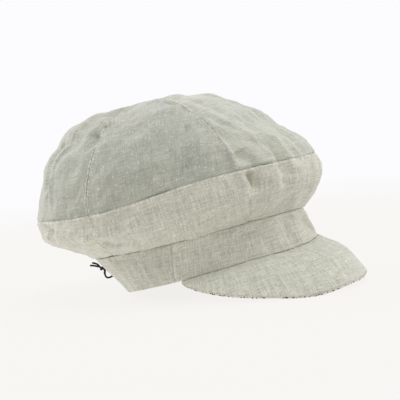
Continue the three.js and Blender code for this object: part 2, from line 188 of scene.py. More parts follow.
# Gathers at the front of the widest seam: ripples on a strip GATHER_ROUND from the middle
GATHER_HEIGHT = 0.9
GATHER_SIZE = 8.5
GATHER_REACH = 15.0
GATHER_SPREAD = 34.0
GATHER_ROUND = 140.0
GATHER_UP = 6.0

# Peak: rim from its left end to its right end
PEAK_HALF_ANGLE = 88.0
PEAK_END = 0.97
PEAK_CREST = 6.6
PEAK_CREST_OUT = 0.6
PEAK_CREST_UP = 0.8
PEAK_CREST_DEPTH = 40.0
PEAK_ROLL = 2.4
PEAK_ROLL_START = 0.84
PEAK_TIP_BLUNT = 3.2
PEAK_BLUNT_START = 0.4
PEAK_TIP_PLACE = -0.13
PEAK_TIP_SPREAD = 0.18
RIM_COLUMNS = ("place", "reach", "height")
RIM_ROWS = (
    (-1.00, 86, -5),
    (-0.75, 108, -29),
    (-0.50, 127, -43.3),
    (-0.25, 141, -44),
    (0.00, 149, -48),
    (0.25, 144, -52),
    (0.50, 126, -40),
    (0.75, 108, -24),
    (1.00, 86, -7),
)
PEAK_TUCK = 2.4
FACING_OVERHANG = 0.7

# Cloth
CLOTH_WALL = 1.9
BAND_WALL = 2.4
BAND_SEAM_ANGLE = 91.0
BAND_SEAM_LEAN = 14.0
BAND_SEAM_DARKNESS = 0.6
PEAK_TOP_WALL = 1.9
PEAK_FACING_WALL = 1.4
LAYER_GAP = 0.15


def read_table(columns, rows):
    return {name: np.array([row[i] for row in rows], float) for i, name in enumerate(columns)}


stations = read_table(STATION_COLUMNS, STATION_ROWS)
sections = read_table(SECTION_COLUMNS, SECTION_ROWS)
rim = read_table(RIM_COLUMNS, RIM_ROWS)
seams = read_table(SEAM_COLUMNS, SEAM_ROWS)
folds = read_table(FOLD_COLUMNS, FOLD_ROWS + tuple((*row, 0) for row in CREASE_ROWS))


# Smooth curves through table values
def spline(p0, p1, p2, p3, t):
    a = p2 - p0
    b = 2 * p0 - 5 * p1 + 4 * p2 - p3
    c = 3 * (p1 - p2) + p3 - p0
    return p1 + 0.5 * t * (a + t * (b + t * c))


def around(values, heading):
    n = len(values)
    turn = np.mod(heading, 360.0) * n / 360.0
    i = np.floor(turn).astype(int) % n
    near = [values[(i + k) % n] for k in (-1, 0, 1, 2)]
    return spline(*near, turn - np.floor(turn))


def values_at(table, heading, *names):
    return [around(table[name], heading) for name in names]


def along(values, place):
    n = len(values) - 1
    first, last = 2 * values[0] - values[1], 2 * values[-1] - values[-2]
    padded = np.concatenate([[first], values, [last]])
    turn = np.clip(place, 0, 1) * n
    i = np.minimum(np.floor(turn).astype(int), n - 1)
    near = [padded[i + k] for k in range(4)]
    return spline(*near, turn - i)


def bezier(a, b, c, d, t):
    s = 1 - t
    return s ** 3 * a + 3 * s * s * t * b + 3 * s * t * t * c + t ** 3 * d


def mix(a, b, t):
    return a + (b - a) * t


def smooth_step(value, start, end):
    t = np.clip((value - start) / (end - start), 0, 1)
    return t * t * (3 - 2 * t)


def bell(distance, width):
    return np.exp(-(distance / width) ** 2)


def polar(reach, centre_y, height, heading):
    a = np.radians(heading)
    return np.stack([-reach * np.sin(a), centre_y - reach * np.cos(a), height + 0 * a], -1)


# Surfaces of the form
def band_surface(heading, up):
    hem_reach, hem_height = values_at(stations, heading, "hem_reach", "hem_height")
    join_reach, join_height = values_at(stations, heading, "join_reach", "join_height")
    centre_y = mix(BAND_CENTRE_Y, JOIN_CENTRE_Y, up)
    return polar(mix(hem_reach, join_reach, up), centre_y, mix(hem_height, join_height, up), heading)


def side_surface(heading, up):
    low, high = values_at(stations, heading, "join_reach", "wide_reach")
    bottom, top = values_at(stations, heading, "join_height", "wide_height")
    flare, lift, belly, drop = values_at(sections, heading, "flare", "lift", "belly", "drop")
    reach = bezier(low, low + flare, high + belly, high, up)
    height = bezier(bottom, bottom + lift, top - drop, top, up)
    return polar(reach, mix(JOIN_CENTRE_Y, WIDE_CENTRE_Y, up), height, heading)


def top_surface(heading, up):
    wide, start = values_at(stations, heading, "wide_reach", "wide_height")
    climb, lean, flatness, peakiness = values_at(sections, heading, "climb", "lean", "flat", "peakiness")
    flat = wide * flatness
    reach = bezier(wide, wide + lean, flat, 0, up)
    height = bezier(start, start + (APEX_Z - start) * climb, APEX_Z - flat * peakiness, APEX_Z, up)
    return polar(reach, mix(WIDE_CENTRE_Y, APEX_Y, up), height, heading)


def crown_base(heading, place):
    heading, place = np.broadcast_arrays(np.asarray(heading, float), np.asarray(place, float))
    low = side_surface(heading, np.clip(place, 0, 1))
    high = top_surface(heading, np.clip(place - 1, 0, 1))
    return np.where((place <= 1)[..., None], low, high)


def unit(vector):
    return vector / np.linalg.norm(vector, axis=-1, keepdims=True)


def pair(a, b):
    return np.stack(np.broadcast_arrays(a, b), -1)


def outward(point):
    return unit(point - CROWN_CORE)


def seam_heading(i, place):
    bow = seams["bow"][i] * np.sin(np.pi * np.clip(place - 1, 0, 1))
    below = 1 - np.minimum(place, 1)
    return mix(seams["join"][i], seams["wide"][i], 1 - below ** 2) + bow


def distance_to_line(point, line):
    """Distance of each point to a line of several straight pieces."""
    least = np.full(point.shape[:-1], np.inf)
    for a, b in zip(line[:-1], line[1:]):
        ab = b - a
        t = np.clip(((point - a) @ ab) / (ab @ ab), 0, 1)
        least = np.minimum(least, np.linalg.norm(point - (a + t[..., None] * ab), axis=-1))
    return least


def fold_shift(point):
    """Height and sag of the cloth, summed over all folds."""
    height = np.zeros(point.shape[:-1])
    drop = np.zeros(point.shape[:-1])
    t = np.linspace(0, 1, FOLD_STEPS + 1)
    for k in range(len(folds["height"])):
        heading = mix(folds["from_heading"][k], folds["to_heading"][k], t)
        place = mix(folds["from_place"][k], folds["to_place"][k], t)
        bump = bell(distance_to_line(point, crown_base(heading, place)), folds["half_width"][k])
        height += folds["height"][k] * bump
        drop += folds["drop"][k] * bump
    return height, drop


def seam_distance(point, heading, place):
    """Distance to the nearest of the seams that run up the crown, and which seam it is."""
    centre = mix(JOIN_CENTRE_Y, WIDE_CENTRE_Y, np.minimum(place, 1))
    reach = np.hypot(point[..., 0], point[..., 1] - centre)
    least = np.full(point.shape[:-1], np.inf)
    nearest = np.zeros(least.shape, int)
    for i in range(len(SEAM_ROWS)):
        turn = np.abs(np.mod(heading - seam_heading(i, place) + 540, 360) - 180)
        distance = np.radians(turn) * reach
        nearest = np.where(distance < least, i, nearest)
        least = np.minimum(least, distance)
    return least, nearest


def peak_surface(place, out):
    heading = place * PEAK_HALF_ANGLE
    hem = band_surface(heading, 0.0)
    hem_reach = np.hypot(hem[..., 0], hem[..., 1])
    rim_reach, rim_height = along(rim["reach"], (place + 1) / 2), along(rim["height"], (place + 1) / 2)
    crest = PEAK_CREST * np.sin(np.pi * out) * np.clip((rim_reach - hem_reach) / PEAK_CREST_DEPTH, 0, 1)
    tip = bell(place - PEAK_TIP_PLACE, PEAK_TIP_SPREAD)
    blunt = PEAK_TIP_BLUNT * tip * smooth_step(out, PEAK_BLUNT_START, 1.0)
    reach = mix(hem_reach, rim_reach, out) + PEAK_CREST_OUT * crest - blunt
    roll = PEAK_ROLL * tip * smooth_step(out, PEAK_ROLL_START, 1.0)
    height = mix(hem[..., 2], rim_height, out) + PEAK_CREST_UP * crest - roll
    return polar(reach, BAND_CENTRE_Y, height, heading)


def to_world(point):
    """Millimetres in the cap's own frame to metres in the row frame."""
    t = math.radians(REST_TILT)
    y = point[..., 1] * math.cos(t) + point[..., 2] * math.sin(t)
    z = point[..., 2] * math.cos(t) - point[..., 1] * math.sin(t)
    return (np.stack([point[..., 0], y, z], -1) + REST_PLACE) * MM


# Repeatable noise: smooth waves of random direction and phase, between about -1 and 1
NOISE_WAVES = 14
NOISE_SHORTEST = 0.7
NOISE_LONGEST = 1.6
NOISE_PEAK = 1.6


def wave_noise(point, size, seed):
    random = np.random.default_rng(seed)
    total = np.zeros(point.shape[:-1])
    for _ in range(NOISE_WAVES):
        direction = random.normal(size=point.shape[-1])
        length = size * np.linalg.norm(direction) * random.uniform(NOISE_SHORTEST, NOISE_LONGEST)
        direction *= 2 * np.pi / length
        total += np.sin(point @ direction + random.uniform(0, 2 * np.pi))
    return total / math.sqrt(NOISE_WAVES / 2) / NOISE_PEAK


# Mesh from a closed wall of two grids, or from a loop of rows
def quads(*corners):
    return np.stack(corners, -1).reshape(-1, 4)


def wall_faces(rows, columns):
    """Quads of a wall: grid a outside, grid b inside, and the strips that join their edges."""
    a, b = np.arange(2 * rows * columns).reshape(2, rows, columns)
    return np.concatenate([
        quads(a[:-1, :-1], a[:-1, 1:], a[1:, 1:], a[1:, :-1]),
        quads(b[:-1, :-1], b[1:, :-1], b[1:, 1:], b[:-1, 1:]),
        quads(a[0, 1:], a[0, :-1], b[0, :-1], b[0, 1:]),
        quads(a[-1, :-1], a[-1, 1:], b[-1, 1:], b[-1, :-1]),
        quads(a[:-1, 0], a[1:, 0], b[1:, 0], b[:-1, 0]),
        quads(a[1:, -1], a[:-1, -1], b[:-1, -1], b[1:, -1]),
    ])


def loop_faces(rows, columns):
    """Quads of a closed loop of rows, capped at both ends of its columns."""
    index = np.arange(rows * columns).reshape(rows, columns)
    after = np.roll(index, -1, axis=0)
    half = rows // 2
    front, back = index[:half], index[::-1][:half]
    return np.concatenate([
        quads(index[:, :-1], index[:, 1:], after[:, 1:], after[:, :-1]),
        quads(front[:-1, 0], back[:-1, 0], back[1:, 0], front[1:, 0]),
        quads(front[1:, -1], back[1:, -1], back[:-1, -1], front[:-1, -1]),
    ])


def add_object(name, data):
    made = bpy.data.objects.new(name, data)
    bpy.context.collection.objects.link(made)
    return made


def add_mesh(name, points, faces, uv, material, **marks):
    """A smooth mesh in the row frame. points are in millimetres in the cap's frame, uv is in metres."""
    mesh = bpy.data.meshes.new(name)
    world = to_world(points.reshape(-1, 3))
    mesh.from_pydata(world.tolist(), [], faces.tolist())
    layer = mesh.uv_layers.new(name="cloth")
    corners = np.empty(len(mesh.loops), int)
    mesh.loops.foreach_get("vertex_index", corners)
    flat = (uv.reshape(-1, 2) * MM)[corners]
    layer.data.foreach_set("uv", flat.astype(np.float32).ravel())
    for mark, values in marks.items():
        attribute = mesh.attributes.new(mark, "FLOAT", "POINT")
        attribute.data.foreach_set("value", values.reshape(-1).astype(np.float32))
    mesh.polygons.foreach_set("use_smooth", np.ones(len(mesh.polygons), bool))
    mesh.materials.append(material)
    mesh.update()
    return add_object(name, mesh)


def finish_piece(piece, node):
    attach(piece, "root")
    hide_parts(node)


def arc_lengths(points, axis):
    step = np.linalg.norm(np.diff(points, axis=axis), axis=-1)
    zero = np.zeros_like(np.take(step, [0], axis=axis))
    return np.concatenate([zero, np.cumsum(step, axis=axis)], axis=axis)


def towards_edges(count, gather):
    """count values from 0 to 1, closer together near both ends."""
    t = np.linspace(0, 1, count)
    return t - gather * np.sin(2 * np.pi * t) / (2 * np.pi)


def grid_normals(points):
    normal = np.cross(np.gradient(points, axis=1), np.gradient(points, axis=0))
    return normal / np.maximum(np.linalg.norm(normal, axis=-1, keepdims=True), 1e-9)


# Materials
class Shader:
    """A short way to write the nodes of a material, or of the world."""

    def __init__(self, owner, surface="Principled BSDF"):
        owner.use_nodes = True
        self.owner = owner
        self.tree = owner.node_tree
        self.surface = self.tree.nodes[surface]

    def node(self, kind, output=0, settings=None, **inputs):
        node = self.tree.nodes.new("ShaderNode" + kind)
        for key, value in (settings or {}).items():
            setattr(node, key, value)
        for key, value in inputs.items():
            numbered = key[0] == "i" and key[1:].isdigit()
            self.put(node.inputs[int(key[1:]) if numbered else key], value)
        return node.outputs[output]

    def put(self, socket, value):
        if isinstance(value, bpy.types.NodeSocket):
            self.tree.links.new(value, socket)
        else:
            socket.default_value = value

    def math(self, operation, a, b=0.0, c=0.0):
        return self.node("Math", settings={"operation": operation}, i0=a, i1=b, i2=c)

    def plus(self, a, b):
        return self.math("ADD", a, b)

    def minus(self, a, b):
        return self.math("SUBTRACT", a, b)

    def times(self, a, b):
        return self.math("MULTIPLY", a, b)

    def mean(self, a, b):
        return self.plus(self.times(a, 0.5), self.times(b, 0.5))

    def vector(self, operation, a, b, output=0):
        return self.node("VectorMath", output, {"operation": operation}, i0=a, i1=b)

    def scaled(self, vector, factor):
        return self.node("VectorMath", settings={"operation": "SCALE"}, i0=vector, i3=factor)

    def split(self, vector):
        """The three components of a vector."""
        node = self.tree.nodes.new("ShaderNodeSeparateXYZ")
        self.put(node.inputs[0], vector)
        return node.outputs

    def mark(self, name):
        """A value that add_mesh stored at the points."""
        return self.node("Attribute", output=2, settings={"attribute_name": name})

    def cells(self, place, spacing, randomness=1.0):
        node = self.tree.nodes.new("ShaderNodeTexVoronoi")
        node.voronoi_dimensions = "2D"
        node.inputs["Scale"].default_value = 1 / spacing
        node.inputs["Randomness"].default_value = randomness
        self.put(node.inputs["Vector"], place)
        return node.outputs

    def blend(self, factor, a, b):
        node = self.tree.nodes.new("ShaderNodeMix")
        node.data_type = "RGBA"
        colours = [s for s in node.inputs if s.type == "RGBA"]
        self.put(node.inputs[0], factor)
        self.put(colours[0], a)
        self.put(colours[1], b)
        return next(s for s in node.outputs if s.type == "RGBA")

    def ramp(self, value, low, high, to_low=0.0, to_high=1.0):
        return self.node("MapRange", i0=value, i1=low, i2=high, i3=to_low, i4=to_high)

    def cloth_place(self):
        """The piece's own UV map, in millimetres."""
        uv = self.node("UVMap", settings={"uv_map": "cloth"})
        return self.scaled(uv, 1 / MM)

    def stretched_noise(self, place, across, lengthways, detail, seed):
        """Noise whose spots are 1/across by 1/lengthways millimetres."""
        stretched = self.vector("MULTIPLY", place, (across, lengthways, 0))
        moved = self.vector("ADD", stretched, (seed, seed * 1.7, seed))
        return self.node("TexNoise", Vector=moved, Scale=1.0, Detail=detail, Roughness=0.55)

    def weave(self, place, turn):
        """Height of a plain weave. turn is how many radians of it go to a millimetre."""
        across, lengthways, _ = self.split(place)
        over = self.math("SINE", self.times(across, turn))
        under = self.math("SINE", self.times(lengthways, turn))
        return self.times(over, under)

    def set(self, **inputs):
        for key, value in inputs.items():
            self.put(self.surface.inputs[key.replace("_", " ")], value)


LINEN_COOL = (0.525, 0.550, 0.465, 1)
LINEN_WARM = (0.600, 0.580, 0.485, 1)
LINEN_PALE = (0.900, 0.885, 0.800, 1)
LINEN_DARK = (0.250, 0.255, 0.205, 1)
STREAK = 1.05
GRAIN = 0.20
TONE_RANGE = (0.36, 0.64)
WARMTH_SPREAD = 0.32
THREAD_SHARE = 0.72
PALE_SLUB_RANGE = (0.645, 0.685)
DARK_SLUB_RANGE = (0.365, 0.32)
PALE_SLUB_STRENGTH = 0.75
DARK_SLUB_STRENGTH = 0.42
SEAM_NOISE_RANGE = (0.86, 1.14)
SEAM_STRENGTH_RANGE = (0.05, 0.90)
STITCH_RANGE = (0.46, 0.56)
STITCH_STRENGTH = 0.80
WEAVE_PITCH = 0.85

# Noise in the linen. across and lengthways are its spots to a millimetre.
NOISE_COLUMNS = ("across", "lengthways", "detail", "seed")
LINEN_NOISE = {
    "warp": (0.80, 0.04, 2.0, 1),
    "weft": (0.04, 0.80, 2.0, 2),
    "cloud": (0.02, 0.02, 2.0, 3),
    "pale_warp": (0.95, 0.14, 1.0, 4),
    "pale_weft": (0.14, 0.95, 1.0, 5),
    "dark_warp": (0.95, 0.11, 1.0, 6),
    "dark_weft": (0.11, 0.95, 1.0, 7),
    "wide_warp": (0.16, 0.03, 2.0, 8),
    "wide_weft": (0.03, 0.16, 2.0, 9),
    "uneven": (0.22, 0.22, 2.0, 10),
    "dash": (0.40, 0.40, 1.0, 11),
    "grain": (0.55, 0.55, 2.0, 12),
    "slow": (0.03, 0.03, 1.0, 13),
}


def linen(name, warmth, level, contrast, seed):
    """Slubby plain-weave linen: streaks of warp and weft, pale and dark slubs, a fine weave."""
    s = Shader(bpy.data.materials.new(name))
    place = s.cloth_place()
    noise = {}
    for layer, row in LINEN_NOISE.items():
        values = dict(zip(NOISE_COLUMNS, row))
        values["seed"] += seed
        noise[layer] = s.stretched_noise(place, **values)
    threads = s.mean(noise["warp"], noise["weft"])
    bands = s.mean(noise["wide_warp"], noise["wide_weft"])
    tone = s.mean(bands, noise["cloud"])
    warm = s.ramp(tone, *TONE_RANGE, warmth - WARMTH_SPREAD, warmth + WARMTH_SPREAD)
    colour = s.blend(warm, LINEN_COOL, LINEN_WARM)
    pale_warp = s.ramp(noise["pale_warp"], *PALE_SLUB_RANGE)
    pale_weft = s.ramp(noise["pale_weft"], *PALE_SLUB_RANGE)
    pale = s.math("MAXIMUM", pale_warp, pale_weft)
    dark_warp = s.ramp(noise["dark_warp"], *DARK_SLUB_RANGE)
    dark_weft = s.ramp(noise["dark_weft"], *DARK_SLUB_RANGE)
    dark = s.math("MAXIMUM", dark_warp, dark_weft)
    light = s.plus(s.times(threads, THREAD_SHARE), s.times(bands, 1 - THREAD_SHARE))
    light = s.math("MULTIPLY_ADD", s.minus(noise["grain"], 0.5), GRAIN, light)
    light = s.math("MULTIPLY_ADD", s.minus(light, 0.5), 2 * STREAK * level * contrast, level)
    # The shade mark paints light and shade per panel, per band piece and along the peak, on top of the
    # cloth's tone.
    colour = s.scaled(colour, s.times(light, s.mark("shade")))
    colour = s.blend(s.times(pale, PALE_SLUB_STRENGTH * contrast), colour, LINEN_PALE)
    colour = s.blend(s.times(dark, DARK_SLUB_STRENGTH * contrast), colour, LINEN_DARK)
    uneven = s.plus(noise["uneven"], noise["slow"])
    seam_strength = s.ramp(uneven, *SEAM_NOISE_RANGE, *SEAM_STRENGTH_RANGE)
    colour = s.blend(s.times(s.mark("seam"), seam_strength), colour, LINEN_DARK)
    dash = s.times(s.ramp(noise["dash"], *STITCH_RANGE), STITCH_STRENGTH)
    colour = s.blend(s.times(s.mark("stitch"), dash), colour, LINEN_PALE)
    thick = s.plus(s.times(threads, 2.5), s.times(pale, 0.8))
    height = s.plus(s.times(s.weave(place, math.pi / WEAVE_PITCH), 0.25), thick)
    bump = s.node("Bump", Strength=0.35, Distance=0.25 * MM, Height=height)
    s.set(Base_Color=colour, Roughness=0.92, Normal=bump, Sheen_Weight=0.45, Sheen_Roughness=0.45)
    s.set(Specular_IOR_Level=0.2)
    return s.owner


COTTON_DIM = (0.80, 0.775, 0.72, 1)
COTTON_BRIGHT = (0.86, 0.84, 0.79, 1)
PRINT_RED = (0.55, 0.16, 0.17, 1)
PRINT_DARK = (0.030, 0.030, 0.032, 1)
PRINT_BLACK = (0.028, 0.028, 0.030, 1)
COTTON_WEAVE = 10.0
COTTON_RANGE = (0.35, 0.65)
SPRIG_SPACING = 8.5
SPRIG_SCATTER = 0.75
RED_CHANCE = (0.62, 0.64)
PETALS = 5.0
PETAL_REACH = 1.7
PETAL_DEPTH = 0.45
FLOWER_CENTRE = (0.75, 0.55)
DOT_SPACING = 3.8
DOT_EDGE = (0.24, 0.19)
DOT_CLEARANCE = (4.4, 4.8)
LEAVES = 3.0
LEAF_RING = 3.3
LEAF_LENGTH = 1.6
LEAF_TRIM = 0.75
PRINT_SHIFT = (6.0, 2.0, 0.0)


def printed_cotton(name):
    """Off-white cotton with scattered sprigs: pinkish-red flowers, black leaves and dots."""
    s = Shader(bpy.data.materials.new(name))
    place = s.vector("ADD", s.cloth_place(), PRINT_SHIFT)
    thread = s.stretched_noise(place, 1.2, 0.1, 2.0, 21)
    ground = s.blend(s.ramp(thread, *COTTON_RANGE), COTTON_DIM, COTTON_BRIGHT)
    cells = s.cells(place, SPRIG_SPACING, SPRIG_SCATTER)
    x, y, _ = s.split(s.vector("SUBTRACT", place, cells["Position"]))
    spin_chance, red_chance, _ = s.split(cells["Color"])
    spin = s.times(spin_chance, 2 * math.pi)
    angle = s.plus(s.math("ARCTAN2", y, x), spin)
    x_squared = s.math("POWER", s.math("ABSOLUTE", x), 2.0)
    y_squared = s.math("POWER", s.math("ABSOLUTE", y), 2.0)
    radius = s.math("SQRT", s.plus(x_squared, y_squared))
    petal_wave = s.times(s.math("COSINE", s.times(angle, PETALS)), PETAL_DEPTH)
    petals = s.plus(petal_wave, PETAL_REACH)
    flower = s.ramp(s.minus(petals, radius), 0.0, 0.25)
    leaf_turn = s.math("COSINE", s.times(angle, LEAVES))
    leaf_ring = s.math("ABSOLUTE", s.minus(radius, LEAF_RING))
    leaf_inside = s.minus(s.times(leaf_turn, LEAF_LENGTH), s.plus(leaf_ring, LEAF_TRIM))
    leaf = s.ramp(leaf_inside, 0.0, 0.2)
    centre = s.ramp(radius, *FLOWER_CENTRE)
    dots = s.cells(place, DOT_SPACING)
    dot = s.times(s.ramp(dots["Distance"], *DOT_EDGE), s.ramp(radius, *DOT_CLEARANCE))
    petal_colour = s.blend(s.ramp(red_chance, *RED_CHANCE), PRINT_DARK, PRINT_RED)
    colour = s.blend(flower, ground, petal_colour)
    black = s.math("MAXIMUM", leaf, s.math("MAXIMUM", centre, dot))
    colour = s.blend(black, colour, PRINT_BLACK)
    bump = s.node("Bump", Strength=0.25, Distance=0.1 * MM, Height=s.weave(place, COTTON_WEAVE))
    s.set(Base_Color=colour, Roughness=0.85, Normal=bump, Sheen_Weight=0.08)
    return s.owner


BRAID_SCALE = 1500.0
ELASTIC_DIM = (0.003, 0.003, 0.004, 1)
ELASTIC_BRIGHT = (0.014, 0.014, 0.015, 1)


def elastic(name):
    """Black braided elastic."""
    s = Shader(bpy.data.materials.new(name))
    place = s.node("TexCoord", output=3)
    braid = s.node("TexNoise", Vector=place, Scale=BRAID_SCALE, Detail=2.0)
    colour = s.blend(s.ramp(braid, 0.4, 0.65), ELASTIC_DIM, ELASTIC_BRIGHT)
    bump = s.node("Bump", Strength=0.4, Distance=0.2 * MM, Height=braid)
    s.set(Base_Color=colour, Roughness=0.7, Normal=bump, Sheen_Weight=0.03)
    return s.owner


# The four linens are one cloth at different levels: the side, band and peak are drawn lighter and the
# crown darker, partly the pieces' own tone and partly painted light and shade.
crown_linen = linen("crown_linen", warmth=0.30, level=0.935, contrast=0.68, seed=0.0)
side_linen = linen("side_linen", warmth=0.65, level=1.03, contrast=0.86, seed=30.0)
band_linen = linen("band_linen", warmth=0.62, level=1.08, contrast=0.86, seed=60.0)
peak_linen = linen("peak_linen", warmth=0.45, level=1.17, contrast=0.92, seed=90.0)
facing_print = printed_cotton("facing_print")
black_elastic = elastic("black_elastic")

# Camera: the photograph's view. Its axes and place are those of a level camera on a cap that is
# tilted by PHOTO_TILT, turned by the difference between that tilt and the cap's tilt at rest.
PHOTO_TILT = 18.5
CAMERA_DISTANCE = 2400.0
CAMERA_AZIMUTH = math.radians(-56.5)
CAMERA_ELEVATION = math.radians(9.0)
AIM_REACH = 23.0
AIM_HEIGHT = 64.0
SENSOR = 36.0
VIEW_WIDTH_AT_CAP = 400.0
CAMERA_CLIP_END = 20.0


def photo_to_world(point):
    t = math.radians(REST_TILT - PHOTO_TILT)
    x, y, z = point
    return np.array([x, y * math.cos(t) + z * math.sin(t), z * math.cos(t) - y * math.sin(t)])


def make_camera():
    ca, sa = math.cos(CAMERA_AZIMUTH), math.sin(CAMERA_AZIMUTH)
    ce, se = math.cos(CAMERA_ELEVATION), math.sin(CAMERA_ELEVATION)
    right = np.array([ca, sa, 0.0])
    back = np.array([sa * ce, -ca * ce, se])
    up = np.cross(back, right)
    aim = np.array([-AIM_REACH * ca, -AIM_REACH * sa, AIM_HEIGHT])
    place = photo_to_world(aim + CAMERA_DISTANCE * back) + REST_PLACE
    axes = [photo_to_world(axis) for axis in (right, up, back)]
    data = bpy.data.cameras.new("camera")
    data.sensor_width = SENSOR
    data.lens = SENSOR * CAMERA_DISTANCE / VIEW_WIDTH_AT_CAP
    data.clip_end = CAMERA_CLIP_END
    camera = add_object("camera", data)
    matrix = np.eye(4)
    matrix[:3, :3] = np.array(axes).T
    matrix[:3, 3] = place * MM
    camera.matrix_world = Matrix(matrix.tolist())
    bpy.context.scene.camera = camera


make_camera()

# Elastic cord. Its route is the solids' route, in metres in the cap's own frame.
CORD_DIAMETER = 0.0019
KNOT_CENTRE = np.array([-0.0513, 0.1096, 0.0272])
KNOT_ALONG = np.array([0.44, -0.56, -0.72])
KNOT_ALONG /= np.linalg.norm(KNOT_ALONG)
KNOT_ACROSS = np.array([-0.82, -0.57, -0.02])
STRAND_GAP = 0.0004
FIRST_END = ((-0.0585, 0.1180, 0.0330), (-0.0567, 0.1154, 0.0320), (-0.0549, 0.1128, 0.0305))
LOW_LOOP = (
    (-0.0509, 0.1076, 0.0244),
    (-0.0510, 0.1080, 0.0216),
    (-0.0510, 0.1082, 0.0189),
    (-0.0500, 0.1076, 0.0169),
    (-0.0482, 0.1062, 0.0162),
)
HIGH_LOOP = (
    (-0.0368, 0.1152, 0.0255),
    (-0.0389, 0.1158, 0.0243),
    (-0.0418, 0.1151, 0.0226),
    (-0.0456, 0.1127, 0.0216),
    (-0.0483, 0.1096, 0.0226),
)
SECOND_END = (
    (-0.0522, 0.1120, 0.0304),
    (-0.0531, 0.1125, 0.0321),
    (-0.0547, 0.1141, 0.0338),
    (-0.0563, 0.1162, 0.0350),
)
LOW_EYELET = (156, 0.47)
HIGH_EYELET = (162, 0.64)
INSIDE_BAND = ((158, 0.53), (160, 0.59))
INSIDE_DEPTH = 0.0067
EYELET_DEPTHS = (-0.0015, 0.001, 0.0032)
KNOT_PLACES = (-0.0026, 0.0, 0.0024)
CORD_STEPS = 5
TUBE_STEPS = 4
TIE_TURNS = 2
TIE_STEPS = 60
TIE_WIDE = 0.002625
TIE_DEEP = 0.001785
TIE_RISE = 0.0017
TIE_RADIUS = 0.0008


def eyelet_point(eyelet, depth):
    point = band_surface(float(eyelet[0]), eyelet[1]) * MM
    flat = np.array([point[0], point[1], 0.0])
    return point - depth * flat / np.linalg.norm(flat)


def knot_point(side, distance):
    offset = side * (CORD_DIAMETER + STRAND_GAP) / 2
    return KNOT_CENTRE + offset * KNOT_ACROSS + distance * KNOT_ALONG


def cord_route():
    route = [
        *FIRST_END,
        *[knot_point(1, place) for place in KNOT_PLACES],
        *LOW_LOOP,
        *[eyelet_point(LOW_EYELET, depth) for depth in EYELET_DEPTHS],
        *[eyelet_point(place, INSIDE_DEPTH) for place in INSIDE_BAND],
        *[eyelet_point(HIGH_EYELET, depth) for depth in EYELET_DEPTHS[::-1]],
        *HIGH_LOOP,
        *[knot_point(-1, place) for place in KNOT_PLACES[::-1]],
        *SECOND_END,
    ]
    return np.array(route)


def smooth_line(points, steps):
    """Centripetal curve through the points, with so many steps to each stretch."""
    first, last = 2 * points[0] - points[1], 2 * points[-1] - points[-2]
    padded = np.concatenate([[first], points, [last]])
    line = []
    for i in range(1, len(padded) - 2):
        p = padded[i - 1:i + 3]
        knots = np.concatenate([[0.0], np.cumsum(np.sqrt(np.linalg.norm(np.diff(p, axis=0), axis=1)))])
        for t in np.linspace(knots[1], knots[2], steps, endpoint=False):
            a = [mix(p[k], p[k + 1], (t - knots[k]) / (knots[k + 1] - knots[k])) for k in range(3)]
            b = [mix(a[k], a[k + 1], (t - knots[k]) / (knots[k + 2] - knots[k])) for k in range(2)]
            line.append(mix(b[0], b[1], (t - knots[1]) / (knots[2] - knots[1])))
    line.append(points[-1])
    return np.array(line)


def tube_curve(name, line, radius, material):
    """A round tube along one open spline. line is in metres in the cap's own frame."""
    data = bpy.data.curves.new(name, "CURVE")
    data.dimensions = "3D"
    data.bevel_depth = radius
    data.bevel_resolution = TUBE_STEPS
    data.use_fill_caps = True
    path = data.splines.new("POLY")
    path.points.add(len(line) - 1)
    for point, place in zip(path.points, to_world(line / MM)):
        point.co = (*place, 1.0)
    path.use_smooth = True
    data.materials.append(material)
    return add_object(name, data)


def knot_line():
    """The tie of the knot: the cord's turns round both strands."""
    third = np.cross(KNOT_ALONG, KNOT_ACROSS)
    third /= np.linalg.norm(third)
    across = KNOT_ACROSS / np.linalg.norm(KNOT_ACROSS)
    angle = np.linspace(0, TIE_TURNS * 2 * np.pi, TIE_STEPS)[:, None]
    wide = TIE_WIDE * np.cos(angle) * across
    deep = TIE_DEEP * np.sin(angle) * third
    rising = TIE_RISE * np.linspace(-0.5, 0.5, TIE_STEPS)[:, None] * KNOT_ALONG
    return KNOT_CENTRE + wide + deep + rising


cord_line = smooth_line(cord_route(), CORD_STEPS)
elastic_cord = tube_curve("elastic_cord_piece", cord_line, CORD_DIAMETER / 2, black_elastic)
cord_tie = tube_curve("cord_tie", knot_line(), TIE_RADIUS, black_elastic)
finish_piece(elastic_cord, "elastic_cord")
finish_piece(cord_tie, "cord_knot")


# Crown
RUMPLE_HEIGHT = 1.3
RUMPLE_SIZE = 34.0
FINE_RUMPLE_SHARE = 0.35
FINE_RUMPLE_SIZE = RUMPLE_SIZE / 3
PUCKER_HEIGHT = 0.30
PUCKER_REACH = 9.0
PUCKER_SIZE = 7.0
SEAM_CLEAR_WIDTH = 1.6
APEX_PLACE = 1.996
APEX_FADE = 0.08
# Points of a panel, and how much closer together they lie near its edges
SIDE_POINTS_UP = 62
CROWN_POINTS_UP = 96
LEAST_POINTS_ACROSS = 40
POINTS_PER_DEGREE = 0.85
PANEL_CROWDING = (0.75, 0.7)


def crown_surface(heading, place):
    """The crown with its folds and seam dips, without the finest detail."""
    point = crown_base(heading, place)
    height, drop = fold_shift(point)
    distance, _ = seam_distance(point, heading, place)
    height = height - SEAM_DIP_DEPTH * bell(distance, SEAM_DIP_WIDTH)
    point = point + outward(point) * height[..., None]
    point[..., 2] -= drop
    return point


def seam_relief(distance):
    lip = SEAM_LIP_HEIGHT * bell(distance - SEAM_LIP_PLACE, SEAM_LIP_WIDTH)
    return lip - SEAM_GROOVE_DEPTH * bell(distance, SEAM_GROOVE_WIDTH)


